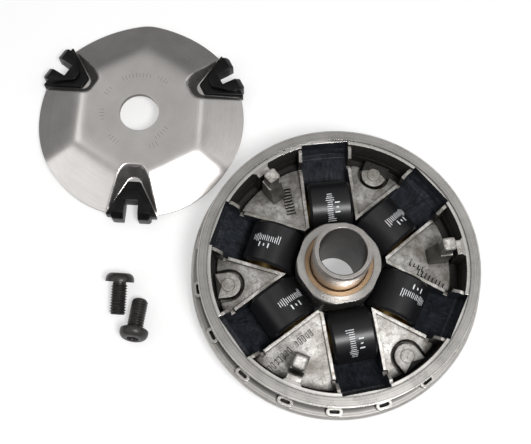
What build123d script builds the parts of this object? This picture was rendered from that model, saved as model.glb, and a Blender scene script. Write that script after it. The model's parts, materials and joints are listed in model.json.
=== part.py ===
"""Variator kit of a small scooter, laid out: pulley housing with rollers and sleeve, ramp plate, screws.

Frame: millimetres, +Z up, the pulley axis is Z, and z = 0 is the face that the hub and everything else
stands on. The housing lies with its open side up, the ramp plate and the two screws lie beside it.
"""
from build123d import *
import os
from math import asin, atan2, cos, degrees, radians, sin, tan

# ---------------------------------------------------------------- driving dimensions
POST_AXIS = 10.3            # direction of the first guide post, degrees from +X
THIRDS = (0, 120, 240)      # the islands and channels repeat three times
CHANNEL_OFFSET = 32.8       # each roller channel stands this many degrees off a guide post

# hub, bushing and sleeve
SLEEVE_R = 10.0
SLEEVE_BORE_R = 8.0
SLEEVE_LENGTH = 40.5
SLEEVE_CHAMFER = 0.6
SLEEVE_GROOVE_Z = 38.6      # a shallow turned groove runs round the sleeve below its top face
SLEEVE_GROOVE_WIDTH = 0.7
SLEEVE_GROOVE_DEPTH = 0.25
RUNNING_GAP = 0.05
BUSHING_BORE_R = SLEEVE_R + RUNNING_GAP
BUSHING_R = 12.1
BUSHING_RECESS = 0.4        # the bushing ends this far inside both hub faces
HUB_R = 15.0
HUB_FLAT_R = 14.35          # flats on the hub face the six channels
HUB_TOP = 25.3
HUB_CHAMFER = 0.4
HUB_MOAT_R = 17.4           # free ring between the hub and the tips of the islands
HUB_MOAT_FLOOR = 8.0

# belt cone, flange and rim
CONE_START_R = 16.5
FLANGE_R = 52.8
FLANGE_BOTTOM = 8.6
FLANGE_TOP = 11.0
LEDGE_FILLET = 1.0          # slope between the wall and the ledge
FLANGE_EDGE = 0.9           # chamfer on the outer edge of the ledge
WALL_R = 47.4
RIM_R = 49.8
RIM_INNER_R = 45.0
RIM_TOP = 24.3
RIM_LIP = 2.4               # height of the lip that stands out past the wall
RIM_STEP_R = 46.3           # inside this radius the rim face is stepped down
RIM_STEP = 0.45

# roller channels
CHANNEL_HALF = 8.5
CHANNEL_END = 45.3
RAMP_FLOOR = 3.1
RAMP_START = 22.0           # the curved ramp leaves the flat floor here
RAMP_R = 25.5
ROLLER_R = 9.5
ROLLER_LENGTH = 15.5
ROLLER_REST = 24.05         # distance of a resting roller from the pulley axis
ROLLER_GAP = 0.25
ROLLER_EDGE = 0.9
CORE_R = 8.2
CORE_BORE_R = 6.6
SHELL_LIP = 1.2             # moulded web that closes one end of the shell over the core
SHELL_LIP_BORE_R = 6.2

# islands between the channels
ISLAND_TIP_Z = 19.6         # wall height at the hub end; the walls fall towards the rim
ISLAND_RIM_Z = 13.8
WALL_THICK = 1.2
PLATEAU_DROP = 0.5          # the floor between the walls lies this far below them by the hub
PLATEAU_RIM_DROP = 2.2      # and this far by the rim
TRENCH_R = 41.2
NARROW_TRENCH_R = 43.2      # three of the islands only have a slot along the rim
TRENCH_FLOOR = 9.0
TRENCH_OUT_R = 44.7         # the trench leaves a small step under the machined rim bore
CORNER_START = 40.2         # the channel walls rise again from here to the rim
CORNER_TOP = 22.0
CORNER_CHAMFER = 2.4
NOTCH_START = 38.4
NOTCH_DROP = 3.2
POST_IN = 36.0
POST_OUT = 40.3
POST_WIDTH = 4.4
POST_TOP = 31.4
POST_FOOT_IN = 32.9
POST_FOOT_WIDTH = 5.2
POST_CHAMFER = 0.5
POST_FILLET = 0.9
NECK_IN = 42.2
NECK_WIDTH = 5.1
NECK_FILLET = 1.1
BOSS_CENTRE = 39.4
BOSS_R = 4.5
BOSS_OUT = 43.6
BOSS_TOP = 13.9
BOSS_GROOVE = 1.4
BOSS_GROOVE_FLOOR = 9.5
BOSS_DISC_R = 2.4
BOSS_DISC = 0.4

# lugs on the flange ledge
LUGS = 18
LUG_R = 50.3
LUG_LENGTH = 5.8
LUG_WIDTH = 3.0
LUG_TOP = 13.6
LUG_SLOT_LENGTH = 3.6
LUG_SLOT_WIDTH = 1.2

# ramp plate and its slide pieces
PLATE_X, PLATE_Y = -76.6, 60.1
PLATE_R = 40.1
PLATE_BORE_R = 7.5
SHEET = 2.0
FLAT_APOTHEM = 23.4
FACET_SLOPE = 26.0
PLATE_TURN = -0.8           # how far the plate lies turned about its own axis
TAB_AXES = tuple(angle + PLATE_TURN for angle in (30, 150, 270))
POCKET_APEX = 24.8
POCKET_APEX_HALF = 3.2
POCKET_HALF = 11.6          # half width of the pocket at the edge of the plate
POCKET_IN_TOP = 5.0
POCKET_OUT_TOP = 3.2
TAB_NOTCH_HALF = 3.4
TAB_NOTCH_IN = 33.4
FORK_IN = 30.0
FORK_SHOULDER = 37.2        # the fork widens from its nose to here
FORK_OUT = 41.8
FORK_NOSE_HALF = 1.9
FORK_HALF = 7.5
FORK_SLOT_HALF = 2.6
FORK_SLOT_IN = 34.4
FORK_TOP = 8.0
FORK_TIP = 0.8              # upright chamfer at the ends of the two prongs
FORK_TIP_TOP = 5.8          # the prongs' tops fall to this height at their ends
FORK_FALL_START = 39.6
GUIDE_BOTTOM = 0.3
GUIDE_ARCH = 1.4            # clearance under the inner end of a slide piece
GUIDE_ARCH_OUT = 32.0
SADDLE_IN = 26.4
SADDLE_OUT = 40.0
SADDLE_OUT_HALF = 9.9
SADDLE_IN_HALF = 2.4
SADDLE_TOP = 5.6

# button head screws, M6 x 12: middle of the head, direction of the shank in degrees
SCREWS = (((-79.1, -5.7), -91.0), ((-72.3, -23.5), 85.0))
SCREW_HEAD_R = 5.25
SCREW_HEAD = 3.3
SCREW_HEAD_TOP_R = 3.0
SCREW_HEAD_EDGE = 0.8
SCREW_CROWN_R, SCREW_CROWN_Z = 4.45, 2.45   # a point on the rounded crown of the head
SCREW_LIFT = 0.02
SCREW_R = 3.0
SCREW_LENGTH = 12.0
SCREW_POINT = 0.6
SOCKET_ACROSS = 4.0
SOCKET_DEPTH = 2.1

# worked out from the above
TALL = 60.0                 # taller and wider than any piece, for cutting tools
BEYOND = 6.0                # how far a cutting tool reaches past the edge of the plate
PIVOT_Z = RAMP_FLOOR + RAMP_R
ROLLER_PATH_R = RAMP_R - ROLLER_R - ROLLER_GAP
ROLLER_REST_ANGLE = degrees(asin((ROLLER_REST - RAMP_START) / ROLLER_PATH_R))
ROLLER_Z = PIVOT_Z - ROLLER_PATH_R * cos(radians(ROLLER_REST_ANGLE))
ROLLER_END = CHANNEL_END - ROLLER_R - ROLLER_GAP
ROLLER_TRAVEL = degrees(asin((ROLLER_END - RAMP_START) / ROLLER_PATH_R)) - ROLLER_REST_ANGLE
ISLAND_SLOPE = (ISLAND_TIP_Z - ISLAND_RIM_Z) / (RIM_INNER_R - HUB_MOAT_R)
FACET_DROP = (PLATE_R - FLAT_APOTHEM) * tan(radians(FACET_SLOPE))
SHEET_DROP = SHEET / cos(radians(FACET_SLOPE))
PLATE_TOP = FACET_DROP + SHEET_DROP
CHANNEL_AXES = sorted((POST_AXIS + third + side * CHANNEL_OFFSET) % 360
                      for third in THIRDS for side in (-1, 1))

os.makedirs("parts", exist_ok=True)


def island_z(r):
    """Height of the island walls at distance r from the pulley axis."""
    return ISLAND_RIM_Z + (RIM_INNER_R - r) * ISLAND_SLOPE


def plateau_z(r):
    """Height of the floor between an island's walls at distance r from the pulley axis."""
    share = (r - HUB_MOAT_R) / (RIM_INNER_R - HUB_MOAT_R)
    return island_z(r) - PLATEAU_DROP - (PLATEAU_RIM_DROP - PLATEAU_DROP) * share


def turned(points):
    """Solid of revolution about Z of a closed outline of (radius, height) points."""
    face = Plane.XZ * make_face(Polyline(*points, close=True))
    return revolve(face, Axis.Z, 360)


def slab(points, bottom, top):
    """Upright prism over a closed outline of (x, y) points."""
    face = Pos(0, 0, bottom) * make_face(Polyline(*points, close=True))
    return extrude(face, top - bottom, dir=(0, 0, 1))


def block(u0, u1, half, bottom, top):
    """Box from u0 to u1 along X, centred on Y."""
    return Pos((u0 + u1) / 2, 0, (bottom + top) / 2) * Box(u1 - u0, 2 * half, top - bottom)


def at_angle(angle, shape):
    return Rot(0, 0, angle) * shape


def island_wedge(half_angle, wall, bottom, top):
    """Prism between two channel walls, set in by the wall thickness, open towards the rim."""
    side = CHANNEL_HALF + wall
    tip = side / sin(radians(half_angle))
    far = RIM_INNER_R + 2
    spread = (far - tip) * tan(radians(half_angle))
    return slab([(tip, 0), (far, spread), (far, -spread)], bottom, top)


# ---------------------------------------------------------------- pulley housing
def housing_blank():
    """The turned body: belt cone, flange, wall, rim, island tops and hub."""
    tip_z = island_z(HUB_MOAT_R)
    return turned([
        (BUSHING_R, 0), (CONE_START_R, 0), (FLANGE_R, FLANGE_BOTTOM),
        (FLANGE_R, FLANGE_TOP - FLANGE_EDGE), (FLANGE_R - FLANGE_EDGE, FLANGE_TOP),
        (WALL_R + LEDGE_FILLET, FLANGE_TOP), (WALL_R, FLANGE_TOP + LEDGE_FILLET),
        (WALL_R, RIM_TOP - 2 * RIM_LIP), (RIM_R, RIM_TOP - RIM_LIP), (RIM_R, RIM_TOP),
        (RIM_STEP_R, RIM_TOP), (RIM_STEP_R, RIM_TOP - RIM_STEP),
        (RIM_INNER_R, RIM_TOP - RIM_STEP), (RIM_INNER_R, ISLAND_RIM_Z), (HUB_MOAT_R, tip_z),
        (HUB_MOAT_R, HUB_MOAT_FLOOR), (HUB_R, HUB_MOAT_FLOOR), (HUB_R, HUB_TOP - HUB_CHAMFER),
        (HUB_R - HUB_CHAMFER, HUB_TOP), (BUSHING_R, HUB_TOP)])


def channel_cut():
    """Space of one roller channel along X: flat by the hub, then a ramp that curves up to the rim."""
    end_angle = asin((CHANNEL_END - RAMP_START) / RAMP_R)
    middle = end_angle / 2
    ramp_end = (CHANNEL_END, PIVOT_Z - RAMP_R * cos(end_angle))
    ramp_middle = (RAMP_START + RAMP_R * sin(middle), PIVOT_Z - RAMP_R * cos(middle))
    edges = Polyline((HUB_FLAT_R, RAMP_FLOOR), (RAMP_START, RAMP_FLOOR))
    edges += ThreePointArc((RAMP_START, RAMP_FLOOR), ramp_middle, ramp_end)
    edges += Polyline(ramp_end, (CHANNEL_END, TALL), (HUB_FLAT_R, TALL), (HUB_FLAT_R, RAMP_FLOOR))
    side = Plane.XZ * make_face(edges)
    return extrude(side, CHANNEL_HALF, both=True)


def island_cut(half_angle, trench_r):
    """Inside of an island's raised edge: a shallow floor, then a deep trench along the rim."""
    ring = turned([
        (HUB_R - 1, plateau_z(HUB_R - 1)), (trench_r, plateau_z(trench_r)), (trench_r, TRENCH_FLOOR),
        (TRENCH_OUT_R, TRENCH_FLOOR), (TRENCH_OUT_R, RIM_TOP + 1), (HUB_R - 1, RIM_TOP + 1)])
    return ring & island_wedge(half_angle, WALL_THICK, 0, TALL)


def trench_radius(axis):
    """The three islands on the +Y side have the wide trench."""
    return TRENCH_R if axis < 180 else NARROW_TRENCH_R


def d_outline(grow, out):
    """Face of the D-shaped boss: round towards the hub, flat towards the rim."""
    radius = BOSS_R + grow
    edges = Polyline((BOSS_CENTRE, radius), (out, radius), (out, -radius), (BOSS_CENTRE, -radius))
    edges += ThreePointArc((BOSS_CENTRE, -radius), (BOSS_CENTRE - radius, 0), (BOSS_CENTRE, radius))
    return make_face(edges)


def boss():
    d_shape = extrude(Pos(0, 0, TRENCH_FLOOR) * d_outline(0, BOSS_OUT), BOSS_TOP - TRENCH_FLOOR)
    disc = Pos(BOSS_CENTRE, 0, BOSS_TOP) * Cylinder(
        BOSS_DISC_R, BOSS_DISC, align=(Align.CENTER, Align.CENTER, Align.MIN))
    return d_shape + disc


def boss_groove(trench_r):
    return extrude(Pos(0, 0, BOSS_GROOVE_FLOOR) * d_outline(BOSS_GROOVE, trench_r + 1),
                   RIM_TOP - BOSS_GROOVE_FLOOR)


def post():
    """Tall square post with a broader foot."""
    bottom = TRENCH_FLOOR + 1
    shaft = block(POST_IN, POST_OUT, POST_WIDTH / 2, TRENCH_FLOOR, POST_TOP)
    shaft = fillet(shaft.edges().filter_by(Axis.Z), POST_FILLET)
    shaft = chamfer(shaft.edges().group_by(Axis.Z)[-1], POST_CHAMFER)
    foot = Plane.XZ * make_face(Polyline(
        (POST_FOOT_IN, bottom), (POST_OUT, bottom), (POST_OUT, RIM_TOP), (POST_IN, RIM_TOP),
        (POST_FOOT_IN, plateau_z(POST_FOOT_IN)), close=True))
    return shaft + extrude(foot, POST_FOOT_WIDTH / 2, both=True)


def neck():
    """Web that comes in from the rim towards the post."""
    half = NECK_WIDTH / 2
    far = RIM_INNER_R + 1
    web = slab([(NECK_IN, half), (RIM_INNER_R - NECK_FILLET, half), (RIM_INNER_R, half + NECK_FILLET),
                (far, half + NECK_FILLET), (far, -half - NECK_FILLET),
                (RIM_INNER_R, -half - NECK_FILLET), (RIM_INNER_R - NECK_FILLET, -half),
                (NECK_IN, -half)], TRENCH_FLOOR, RIM_TOP - RIM_STEP)
    return web


def channel_side(side):
    """What stands on one side wall of a channel: a raised corner by the rim and a notch beside it."""
    middle = side * (CHANNEL_HALF + WALL_THICK / 2)
    long = RIM_INNER_R + 1 - CORNER_START
    corner = Pos(CORNER_START + long / 2, middle, (CORNER_TOP + TRENCH_FLOOR) / 2) * Box(
        long, WALL_THICK, CORNER_TOP - TRENCH_FLOOR)
    corner = chamfer(corner.edges().filter_by(Axis.Y).group_by(Axis.Z)[-1].sort_by(Axis.X)[0:1],
                     CORNER_CHAMFER)
    notch_floor = island_z(CORNER_START) - NOTCH_DROP
    notch = Pos((NOTCH_START + CORNER_START) / 2, middle, (TALL + notch_floor) / 2) * Box(
        CORNER_START - NOTCH_START, WALL_THICK + 1, TALL - notch_floor)
    return corner, notch


def lug():
    """Rounded lug on the flange ledge with a slot in its top."""
    body = SlotOverall(LUG_LENGTH, LUG_WIDTH, rotation=90)
    slot = SlotOverall(LUG_SLOT_LENGTH, LUG_SLOT_WIDTH, rotation=90)
    lug_height = LUG_TOP - FLANGE_TOP
    solid = extrude(Pos(LUG_R, 0, FLANGE_TOP) * body, lug_height)
    return solid - extrude(Pos(LUG_R, 0, FLANGE_TOP + lug_height / 3) * slot, lug_height)


def make_housing():
    post_axes = [POST_AXIS + third for third in THIRDS]
    boss_axes = [axis + 60 for axis in post_axes]
    boss_half_angle = 60 - CHANNEL_OFFSET
    sides = [(axis, channel_side(side)) for axis in CHANNEL_AXES for side in (-1, 1)]
    body = housing_blank()
    for axis in post_axes:
        body -= at_angle(axis, island_cut(CHANNEL_OFFSET, trench_radius(axis)))
    for axis in boss_axes:
        trench_r = trench_radius(axis)
        body -= at_angle(axis, island_cut(boss_half_angle, trench_r) + boss_groove(trench_r))
    body += [at_angle(axis, boss()) for axis in boss_axes]
    body += [at_angle(axis, post()) for axis in post_axes]
    body += [at_angle(axis, neck()) for axis in post_axes]
    body += [at_angle(axis, corner) for axis, (corner, notch) in sides]
    body -= [at_angle(axis, notch) for axis, (corner, notch) in sides]
    body -= [at_angle(axis, channel_cut()) for axis in CHANNEL_AXES]
    body += [at_angle(POST_AXIS + number * 360 / LUGS, lug()) for number in range(LUGS)]
    return body


# ---------------------------------------------------------------- hub bushing and sleeve
def make_bushing():
    low, high = BUSHING_RECESS, HUB_TOP - BUSHING_RECESS
    ease = 0.4
    return turned([
        (BUSHING_BORE_R + ease, low), (BUSHING_R, low), (BUSHING_R, high),
        (BUSHING_BORE_R + ease, high), (BUSHING_BORE_R, high - ease), (BUSHING_BORE_R, low + ease)])


def make_sleeve():
    c = SLEEVE_CHAMFER
    groove_r = SLEEVE_R - SLEEVE_GROOVE_DEPTH
    groove_low = SLEEVE_GROOVE_Z - SLEEVE_GROOVE_WIDTH
    bore_ease = 0.3
    return turned([
        (SLEEVE_BORE_R, 0), (SLEEVE_R - c, 0), (SLEEVE_R, c),
        (SLEEVE_R, groove_low), (groove_r, groove_low), (groove_r, SLEEVE_GROOVE_Z),
        (SLEEVE_R, SLEEVE_GROOVE_Z), (SLEEVE_R, SLEEVE_LENGTH - c), (SLEEVE_R - c, SLEEVE_LENGTH),
        (SLEEVE_BORE_R + bore_ease, SLEEVE_LENGTH), (SLEEVE_BORE_R, SLEEVE_LENGTH - bore_ease)])


# ---------------------------------------------------------------- rollers
def roller_place(axis):
    """Places a roller made along Z: laid across its channel, open end towards -Y of the kit."""
    open_side = 1 if cos(radians(axis)) < 0 else -1
    return (Rot(0, 0, axis) * Pos(ROLLER_REST, 0, ROLLER_Z) * Rot(-90 * open_side, 0, 0)
            * Pos(0, 0, -ROLLER_LENGTH / 2))


def make_shell():
    e = ROLLER_EDGE
    return turned([
        (SHELL_LIP_BORE_R, 0), (ROLLER_R - e, 0), (ROLLER_R, e), (ROLLER_R, ROLLER_LENGTH - e),
        (ROLLER_R - e, ROLLER_LENGTH), (CORE_R, ROLLER_LENGTH), (CORE_R, SHELL_LIP),
        (SHELL_LIP_BORE_R, SHELL_LIP)])


def make_core():
    end = ROLLER_LENGTH - 0.3
    ease = 0.25
    return turned([
        (CORE_BORE_R, SHELL_LIP), (CORE_R, SHELL_LIP), (CORE_R, end), (CORE_BORE_R + ease, end),
        (CORE_BORE_R, end - ease)])


# ---------------------------------------------------------------- ramp plate and slide pieces
def plate_form(drop, facet_drop):
    """Hexagonal dome below a flat and six facets: the flat lowered by drop, the facets by a bit more."""
    top = PLATE_TOP - drop
    apothem = FLAT_APOTHEM - facet_drop / tan(radians(FACET_SLOPE))
    reach = PLATE_R + BEYOND
    low = top - (reach - apothem) * tan(radians(FACET_SLOPE))
    turn = 30 + PLATE_TURN
    upper = Pos(0, 0, top) * RegularPolygon(apothem, 6, major_radius=False, rotation=turn)
    lower = Pos(0, 0, low) * RegularPolygon(reach, 6, major_radius=False, rotation=turn)
    return loft([lower, upper])


def pocket_outline(grow):
    half = POCKET_HALF + grow
    apex_half = POCKET_APEX_HALF + grow
    far = PLATE_R + BEYOND
    spread = half + (half - apex_half) * (far - PLATE_R) / (PLATE_R - POCKET_APEX)
    return [(POCKET_APEX - grow, apex_half), (far, spread), (far, -spread),
            (POCKET_APEX - grow, -apex_half)]


def pocket_space(grow, drop):
    """Wedge above the pocket floor, whose floor falls towards the edge of the plate."""
    far = PLATE_R + BEYOND
    slope = (POCKET_IN_TOP - POCKET_OUT_TOP) / (PLATE_R - POCKET_APEX)
    near = POCKET_APEX - BEYOND
    side = Plane.XZ * make_face(Polyline(
        (near, POCKET_IN_TOP + BEYOND * slope - drop), (far, POCKET_OUT_TOP - BEYOND * slope - drop),
        (far, TALL), (near, TALL), close=True))
    return extrude(side, TALL, both=True) & slab(pocket_outline(grow), -TALL, TALL)


def make_plate():
    outer = plate_form(0, 0)
    inner = plate_form(SHEET, SHEET_DROP - SHEET)
    for axis in TAB_AXES:
        outer -= at_angle(axis, pocket_space(0, 0))
        inner -= at_angle(axis, pocket_space(SHEET, SHEET))
    blank = Cylinder(PLATE_R, TALL) - Cylinder(PLATE_BORE_R, TALL)
    plate = (outer - inner) & blank
    plate &= Pos(0, 0, TALL / 2) * Box(2 * TALL, 2 * TALL, TALL)
    for axis in TAB_AXES:
        plate -= at_angle(axis, block(TAB_NOTCH_IN, FLANGE_R, TAB_NOTCH_HALF, -1, TALL))
    return plate


def make_guide():
    """Slide piece at the first tab axis laid along X: a saddle, and a fork that grips the tab."""
    saddle = slab([(SADDLE_IN, SADDLE_IN_HALF), (SADDLE_OUT, SADDLE_OUT_HALF),
                   (SADDLE_OUT, -SADDLE_OUT_HALF), (SADDLE_IN, -SADDLE_IN_HALF)],
                  GUIDE_BOTTOM, SADDLE_TOP)
    fork = slab([(FORK_IN, FORK_NOSE_HALF), (FORK_SHOULDER, FORK_HALF), (FORK_OUT - FORK_TIP, FORK_HALF),
                 (FORK_OUT, FORK_HALF - FORK_TIP), (FORK_OUT, -FORK_HALF + FORK_TIP),
                 (FORK_OUT - FORK_TIP, -FORK_HALF), (FORK_SHOULDER, -FORK_HALF),
                 (FORK_IN, -FORK_NOSE_HALF)], GUIDE_BOTTOM, FORK_TOP)
    fall = Plane.XZ * make_face(Polyline(
        (FORK_FALL_START, FORK_TOP), (FORK_OUT, FORK_TIP_TOP), (FORK_OUT, TALL), (FORK_FALL_START, TALL),
        close=True))
    body = saddle + fork - extrude(fall, TALL, both=True)
    body -= block(FORK_SLOT_IN, FLANGE_R, FORK_SLOT_HALF, -1, TALL)
    body -= block(0, GUIDE_ARCH_OUT, TALL, -1, GUIDE_ARCH)
    return body


def plate_place():
    return Pos(PLATE_X, PLATE_Y, 0)


# ---------------------------------------------------------------- screws
def make_screw():
    """Button head screw along Z: underside of the head at z = 0, shank below."""
    dome = make_face(
        Polyline((0, SCREW_HEAD), (0, -SCREW_LENGTH), (SCREW_R - SCREW_POINT, -SCREW_LENGTH),
                 (SCREW_R, SCREW_POINT - SCREW_LENGTH), (SCREW_R, 0), (SCREW_HEAD_R, 0),
                 (SCREW_HEAD_R, SCREW_HEAD_EDGE))
        + ThreePointArc((SCREW_HEAD_R, SCREW_HEAD_EDGE), (SCREW_CROWN_R, SCREW_CROWN_Z),
                        (SCREW_HEAD_TOP_R, SCREW_HEAD))
        + Line((SCREW_HEAD_TOP_R, SCREW_HEAD), (0, SCREW_HEAD)))
    solid = revolve(Plane.XZ * dome, Axis.Z, 360)
    socket = Pos(0, 0, SCREW_HEAD - SOCKET_DEPTH) * RegularPolygon(
        SOCKET_ACROSS / 2, 6, major_radius=False)
    return solid - extrude(socket, SOCKET_DEPTH + 1)


def screw_place(middle, heading):
    """Lays a screw on the surface: the head's edge and the end of the shank touch it."""
    tilt = degrees(atan2(SCREW_HEAD_R - SCREW_R, SCREW_LENGTH - SCREW_POINT))
    lift = SCREW_HEAD_R * cos(radians(tilt)) + SCREW_LIFT
    return (Pos(middle[0], middle[1], lift) * Rot(0, 0, heading) * Rot(0, tilt, 0) * Rot(0, -90, 0))


# ---------------------------------------------------------------- write the parts
def write(shape, name):
    export_step(shape, f"parts/{name}.step")


write(make_housing(), "pulley_housing")
write(make_bushing(), "hub_bushing")
write(make_sleeve(), "hub_sleeve")
for number, axis in enumerate(CHANNEL_AXES, start=1):
    write(roller_place(axis) * make_shell(), f"roller_shell_{number}")
    write(roller_place(axis) * make_core(), f"roller_core_{number}")
sheet = make_plate()
write(plate_place() * sheet, "ramp_plate")
for number, axis in enumerate(TAB_AXES, start=1):
    guide = at_angle(axis, make_guide()) - sheet
    write(plate_place() * guide, f"slider_guide_{number}")
for number, (middle, heading) in enumerate(SCREWS, start=1):
    write(screw_place(middle, heading) * make_screw(), f"button_screw_{number}")

print("roller travel, degrees", round(ROLLER_TRAVEL, 2), "rest height", round(ROLLER_Z, 2),
      "channels", [round(axis, 1) for axis in CHANNEL_AXES], "plate top", round(PLATE_TOP, 2))
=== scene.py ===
"""Looks of the variator kit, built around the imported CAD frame.

Metres; the pulley axis is Z and the floor is z = 0.
"""
import json
import math
import random
from math import cos, pi, radians, sin, tan

import bmesh
import bpy
import numpy as np
from mathutils import Matrix, Vector


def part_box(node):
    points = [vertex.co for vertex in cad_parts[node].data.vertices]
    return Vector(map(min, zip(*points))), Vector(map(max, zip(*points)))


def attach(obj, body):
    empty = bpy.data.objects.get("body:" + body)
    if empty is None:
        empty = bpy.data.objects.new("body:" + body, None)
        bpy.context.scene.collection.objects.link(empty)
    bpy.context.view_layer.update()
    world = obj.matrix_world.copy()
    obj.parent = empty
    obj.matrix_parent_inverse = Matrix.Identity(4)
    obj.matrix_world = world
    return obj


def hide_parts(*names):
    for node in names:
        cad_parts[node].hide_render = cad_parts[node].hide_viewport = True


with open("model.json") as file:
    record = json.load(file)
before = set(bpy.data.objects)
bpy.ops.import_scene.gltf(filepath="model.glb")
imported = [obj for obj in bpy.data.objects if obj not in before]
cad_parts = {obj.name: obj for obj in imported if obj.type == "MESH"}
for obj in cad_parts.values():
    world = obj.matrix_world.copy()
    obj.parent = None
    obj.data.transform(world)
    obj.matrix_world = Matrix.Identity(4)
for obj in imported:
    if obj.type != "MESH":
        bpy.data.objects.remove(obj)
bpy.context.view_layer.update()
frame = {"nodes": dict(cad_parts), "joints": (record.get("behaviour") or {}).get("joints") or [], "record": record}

record = frame["record"]
nodes = frame["nodes"]
mounts = {m["name"]: m for m in record["mounts"]}
joints = {j["name"]: j for j in frame["joints"]}
MM = 0.001

# ---------------------------------------------------------------- camera and light
CAMERA_PLACE = (-26.31 * MM, -77.71 * MM, 329.73 * MM)
CAMERA_TILT = 16.7          # degrees off straight down
CAMERA_ROLL = 2.36
CAMERA_LENS = 60.95         # mm, on a 36 mm sensor

# ---------------------------------------------------------------- sizes of the frame's solids
HUB_R = 15.0 * MM
HUB_MOAT_R = 17.4 * MM
RIM_INNER_R = 45.0 * MM
WALL_R = 47.4 * MM
RIM_FACE_Z = 23.5 * MM      # whatever of the rim is above this is machined
CHANNEL_HALF = 8.5 * MM
CHANNEL_END = 45.3 * MM
CHANNEL_FLOOR = 3.1 * MM
TRENCH_R = 41.2 * MM
NARROW_TRENCH_R = 43.2 * MM     # three of the islands only have a slot along the rim
TRENCH_TOP = 14.5 * MM      # the trenches' walls and floors are below this
CORNER_Z = 21.0 * MM        # the raised corners by the rim are above this
POST_TOP_Z = 31.4 * MM
LEDGE_Z = 11.0 * MM
LUGS = 18
LUG_TOP = 13.6 * MM
LUG_R = 50.3 * MM
LUG_SLOT_HALF, LUG_SLOT_END = 0.6 * MM, 1.8 * MM
SLOT_FLOOR = 11.87 * MM
ISLAND_Z0, ISLAND_Z1 = 19.6 * MM, 13.8 * MM
PLATEAU_DROP, PLATEAU_RIM_DROP = 0.5 * MM, 2.2 * MM
POST_AXIS = 10.3
CHANNEL_OFFSET = 32.8
ROLLER_R = 9.5 * MM
PLATE_R = 40.1 * MM
PLATE_BORE_R = 7.5 * MM
SHEET = 2.0 * MM
FLAT_APOTHEM = 23.4 * MM
FACET_SLOPE = 26.0
PLATE_TURN = -0.8
TAB_AXES = tuple(angle + PLATE_TURN for angle in (30, 150, 270))
SCREW_HEAD_R = 5.25 * MM
SCREW_HEAD = 3.3 * MM
SCREW_LENGTH = 12.0 * MM
SCREW_R = 3.0 * MM
CHANNELS = sorted((POST_AXIS + third + side * CHANNEL_OFFSET) % 360
                  for third in (0, 120, 240) for side in (-1, 1))


# ---------------------------------------------------------------- small helpers
def mesh_object(name, verts, faces, smooth=True):
    mesh = bpy.data.meshes.new(name)
    mesh.from_pydata([tuple(v) for v in verts], [], faces)
    mesh.validate()
    mesh.update()
    if smooth:
        mesh.shade_smooth()
    obj = bpy.data.objects.new(name, mesh)
    bpy.context.scene.collection.objects.link(obj)
    return obj


def applied(obj):
    """Turns the object's modifiers into plain mesh."""
    graph = bpy.context.evaluated_depsgraph_get()
    mesh = bpy.data.meshes.new_from_object(obj.evaluated_get(graph))
    obj.modifiers.clear()
    obj.data = mesh
    return obj


def modifier(obj, kind, **values):
    made = obj.modifiers.new(kind.title(), kind)
    for key, value in values.items():
        setattr(made, key, value)
    return made


def sharp_by_angle(obj, angle=35):
    obj.data.shade_smooth()
    obj.data.set_sharp_from_angle(angle=radians(angle))


def piece(obj, body, material, replaced=()):
    """Gives a finished piece its material and body, and hides the CAD parts it replaces."""
    obj.data.materials.clear()
    obj.data.materials.append(material)
    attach(obj, body)
    if replaced:
        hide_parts(*replaced)
    return obj


def paint(node, *materials):
    """Gives a CAD node its materials, and returns its mesh."""
    mesh = nodes[node].data
    mesh.materials.clear()
    for material in materials:
        mesh.materials.append(material)
    return mesh


def prism(name, outline, bottom, top, move=None):
    """Closed upright prism over an outline of (x, y) points."""
    count = len(outline)
    verts = [(x, y, bottom) for x, y in outline] + [(x, y, top) for x, y in outline]
    faces = [tuple(reversed(range(count))), tuple(range(count, 2 * count))]
    faces += [(i, (i + 1) % count, count + (i + 1) % count, count + i) for i in range(count)]
    obj = mesh_object(name, verts, faces, smooth=False)
    if move is not None:
        obj.data.transform(move)
    return obj


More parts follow.
